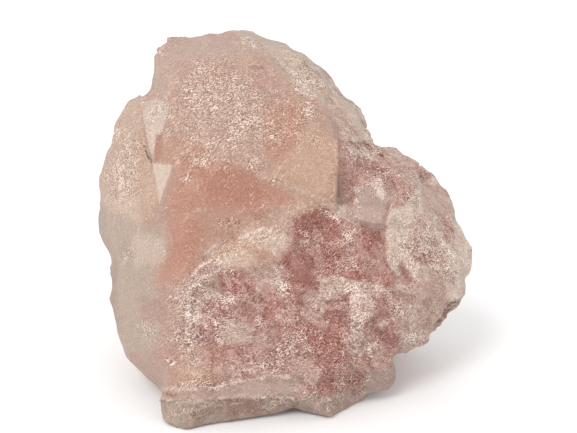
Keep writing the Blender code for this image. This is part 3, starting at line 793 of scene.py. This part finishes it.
def quartz_material(look):
    """Milky quartz: painted zones, frosted grains, bright strokes of painted glint and a broken, sugary
    surface.
    """
    m = ShaderMaker("rose_quartz")
    place = m.scaled(m.add("ShaderNodeTexCoord", output="Object"), 1 / MM)
    frost_and_glint = (*look.frost_and_glint, 1)
    glass, sparkle = m.stored("glass"), m.stored("sparkle")
    rough = 1 - glass

    wobble = m.scaled(m.vector("SUBTRACT", m.noise(place, WOBBLE, 2, output="Color"), (0.5, 0.5, 0.5)), 0.6)
    bent = m.vector("ADD", place, wobble)
    cloud = m.noise(place, CLOUD, 4, 0.6)
    mottle = m.noise(place, MOTTLE, 4, 0.65)
    salt = m.noise(place, SALT, 0)
    fizz = m.noise(place, FIZZ, 0).between(0.42, 0.58) - 0.5
    gathers = m.noise(place, GATHERING, 3, 0.55)
    broad, broad_shade = m.facets(m.turned(bent, FLAKE_TURN, *FLAKE))
    fine, fine_shade = m.facets(m.turned(bent, FLAKE_TURN, *CHIP))

    # Each turn gives strokes with a white core and a dark rim, and together they give the grain. The white
    # cores are painted glints.
    patches = gathers.between(0.38, 0.60)
    busy = sparkle.between(0, 0.8)
    grainy = busy * (0.44 + patches * 0.16) + rough * (0.12 + patches * 0.12) + 0.07
    gathered = patches * 0.07 + busy * 0.14 + sparkle * 0.03 - 0.02
    glints, rims, grain = None, None, salt
    for turn in STROKE_TURNS:
        stroke = m.noise(m.turned(bent, turn, *STROKE), 1, 0.5)
        core = (stroke + gathered).between(0.79, 0.825)
        rim = (stroke + gathered).between(0.72, 0.76)
        glints = core if glints is None else glints.sum("MAXIMUM", glints, core)
        rims = rim if rims is None else rims.sum("MAXIMUM", rims, rim)
        grain = grain + stroke
    grain = (grain * (1 / (1 + len(STROKE_TURNS)))).between(0.43, 0.57) - 0.46
    dark = (rims - glints) * (busy * 0.42 + rough * 0.10)
    white = glints * (0.55 + busy * 0.45)

    # Flakes lean to cream or wine, then everything shades the colour.
    colour = m.stored("tint", "Color")
    colour = m.mix(broad_shade.between(0.6, 0.8) * rough * 0.20, colour, (*look.cream, 1))
    colour = m.mix((1.0 - broad_shade).between(0.6, 0.8) * rough * 0.18, colour, (*look.wine, 1))
    shade = 1.0 + (cloud - 0.5) * 0.24 + (mottle - 0.5) * (rough * 0.25 + 0.12)
    shade = shade + (broad_shade - 0.5) * (rough * 0.16 + 0.03) + (fine_shade - 0.5) * (rough * 0.20 + 0.03)
    shade = shade + grain * grainy * 2.2 + fizz * (busy * 0.22 + rough * 0.07 + 0.12) - dark
    shade = shade.sum("MAXIMUM", shade, 0.5)
    values = {"Color": colour, "Value": shade, "Saturation": 1.5 - shade * 0.5 + busy * 0.1}
    colour = m.add("ShaderNodeHueSaturation", None, values)
    colour = m.mix(1.0 - look.depth, colour, (0, 0, 0, 1))
    # Painted glints: the white stroke cores are mixed into the base colour as the pale frost colour
    colour = m.mix(white, colour, frost_and_glint)

    height = broad * (rough * 0.30 + 0.04) + fine * (rough * 0.16 + 0.02)
    height = height + grain * (grainy * 0.03 + 0.005) + (mottle - 0.5) * 0.12 + white * 0.05
    bump = m.add("ShaderNodeBump", None, {"Height": height, "Distance": MM, "Strength": 1.0})
    m.set(m.shader, {
        "Base Color": colour,
        "Roughness": 0.48,
        "Normal": bump,
        "Subsurface Weight": look.glow,
        "Subsurface Radius": (1.0, 0.6, 0.5),
        "Subsurface Scale": look.glow_depth,
        "Specular IOR Level": 0.35,
        "IOR": 1.54,
    })
    return m.material


def smooth(stone, name, **settings):
    """Evens out the mesh as often as this step says."""
    apply(stone, "SMOOTH", name, factor=0.5, iterations=ROUNDS[name], **settings)


def copy_of_solid(context):
    """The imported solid's shape as an object of its own, welded, with its normals outward."""
    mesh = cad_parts[NODE].data.copy()
    mesh.name = "quartz_stone"
    mesh.materials.clear()
    stone = bpy.data.objects.new("quartz_stone", mesh)
    context.scene.collection.objects.link(stone)
    only(stone)
    bpy.ops.object.mode_set(mode="EDIT")
    bpy.ops.mesh.select_all(action="SELECT")
    bpy.ops.mesh.remove_doubles(threshold=WELD)
    bpy.ops.mesh.normals_make_consistent(inside=False)
    bpy.ops.object.mode_set(mode="OBJECT")
    return stone


def refine(stone, grain):
    """An even mesh of this spacing, finer on the broad face and finest by its marks."""
    apply(stone, "REMESH", "even_grain", mode="VOXEL", voxel_size=grain)
    smooth(stone, "eased_steps")
    front, _ = front_faces(stone.data)
    split_faces(stone, front)
    front, place = front_faces(stone.data)
    split_faces(stone, front & near_detail(place))


def calm_glass(stone):
    """Smooths the glassy faces. It returns how far each point is glassy, and how far forward."""
    points, normals = read_points(stone.data)
    forward = forward_of(normals)
    place = seen(points)
    glass = np.zeros(len(points))
    for soft, strength, outline in GLASS:
        glass = np.maximum(glass, inside(place, outline, soft) * strength * forward)
    group = stone.vertex_groups.new(name="glassy")
    for index in np.flatnonzero(glass > LEAST_GLASS).tolist():
        group.add([index], float(glass[index]), "REPLACE")
    smooth(stone, "glassy_faces", vertex_group="glassy")
    smooth(stone, "eased_splits")
    stone.vertex_groups.clear()
    return glass, forward


def break_up(mesh, glass, forward):
    """Moves the points by the flat breaks, then the pulls on the outline, then the plates."""
    points, normals = read_points(mesh)
    rng = np.random.default_rng(SEED)
    low_edge = np.interp(points[:, 2], LOW_EDGE, (0, 1))
    strength = (1 - GLASS_CALM * glass) * low_edge
    for size, lean in BREAKS:
        points += normals * (broken(points, rng, size, lean) * strength)[:, None]
        write_points(mesh, points)
        points, normals = read_points(mesh)
    place = seen(points)
    for right, down, radius, across, below in PULLS:
        share = np.exp(-np.square(place - (right, down)).sum(axis=1) / radius**2) * low_edge / MARKS
        points += share[:, None] * np.array(RIGHT * across - UP * below)
    place += np.stack([noise_at(points, *bends) for bends in PLATE_BENDS], axis=1) * PLATE_STRAY
    for lift, soft, outline in PLATES:
        points += np.array(TOWARDS) * (inside(place, outline, soft) * lift * forward * low_edge)[:, None]
    points[:, 2] = np.maximum(points[:, 2], 0)
    write_points(mesh, points)


def store_looks(mesh, look, glass, forward):
    """Keeps each point's colour, gloss and sparkle on the mesh, for the material."""
    points, normals = read_points(mesh)
    colours, sparkle = paint(points, forward, painted_rim_of(points, normals), look)
    for name, values in (("glass", glass), ("sparkle", sparkle)):
        mesh.attributes.new(name, "FLOAT", "POINT").data.foreach_set("value", values.astype(np.float32))
    tint = mesh.attributes.new("tint", "FLOAT_COLOR", "POINT")
    tint.data.foreach_set("color", np.c_[colours, np.ones(len(points))].astype(np.float32).ravel())


class BuildStone(bpy.types.Operator):
    """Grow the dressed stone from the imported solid."""

    bl_idname = "rose_quartz.build_stone"
    bl_label = "Build stone"

    def execute(self, context):
        look = context.scene.quartz_look
        stone = copy_of_solid(context)
        refine(stone, look.grain)
        glass, forward = calm_glass(stone)
        break_up(stone.data, glass, forward)
        store_looks(stone.data, look, glass, forward)
        only(stone)
        bpy.ops.object.shade_smooth_by_angle(angle=SMOOTH_ANGLE)
        stone.data.materials.append(quartz_material(look))
        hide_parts(NODE)
        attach(stone, "root")
        return {"FINISHED"}


class SetStudio(bpy.types.Operator):
    """Set the pale floor, the soft light and the camera."""

    bl_idname = "rose_quartz.set_studio"
    bl_label = "Set studio"

    def execute(self, context):
        look = context.scene.studio_look
        bpy.ops.object.select_all(action="DESELECT")
        bpy.ops.mesh.primitive_plane_add(size=FLOOR_WIDTH, location=(0, 0, 0))
        floor = context.object
        floor.name = "studio_floor"
        m = ShaderMaker("studio_floor")
        m.set(m.shader, {"Base Color": (*look.floor, 1), "Roughness": 0.9, "Specular IOR Level": 0.1})
        floor.data.materials.append(m.material)

        world = bpy.data.worlds.new("white_room")
        world.use_nodes = True
        background = world.node_tree.nodes["Background"]
        background.inputs["Color"].default_value = (1, 1, 1, 1)
        background.inputs["Strength"].default_value = look.sky
        context.scene.world = world
        bpy.ops.object.light_add(type="SUN", location=LAMP_PLACE)
        lamp = context.object
        lamp.name = "key_light"
        lamp.data.energy = look.key
        lamp.data.angle = look.key_width
        lamp.rotation_euler = (AIM * MM - lamp.location).to_track_quat("-Z", "Y").to_euler()

        bpy.ops.object.camera_add(location=(AIM + TOWARDS * DISTANCE) * MM)
        camera = context.object
        camera.name = "front_camera"
        camera.data.lens = look.lens
        camera.data.sensor_width = SENSOR_WIDTH
        camera.rotation_euler = (-TOWARDS).to_track_quat("-Z", "Y").to_euler()
        context.scene.camera = camera
        context.scene.view_settings.view_transform = "Standard"
        return {"FINISHED"}


class QuartzPanel(bpy.types.Panel):
    """Lists the pieces and their settings."""

    bl_idname = "VIEW3D_PT_rose_quartz"
    bl_label = "Rose Quartz"
    bl_space_type = "VIEW_3D"
    bl_region_type = "UI"
    bl_category = "Rose Quartz"

    def draw(self, context):
        for maker, look in ((BuildStone, context.scene.quartz_look), (SetStudio, context.scene.studio_look)):
            self.layout.operator(maker.bl_idname)
            for name in look.__annotations__:
                self.layout.prop(look, name)


CLASSES = (QuartzLook, StudioLook, BuildStone, SetStudio, QuartzPanel)


def register():
    for cls in CLASSES:
        bpy.utils.register_class(cls)
    bpy.types.Scene.quartz_look = bpy.props.PointerProperty(type=QuartzLook)
    bpy.types.Scene.studio_look = bpy.props.PointerProperty(type=StudioLook)


def unregister():
    del bpy.types.Scene.quartz_look
    del bpy.types.Scene.studio_look
    for cls in reversed(CLASSES):
        bpy.utils.unregister_class(cls)


def main():
    register()
    bpy.ops.rose_quartz.build_stone()
    bpy.ops.rose_quartz.set_studio()


if __name__ == "__main__":
    main()
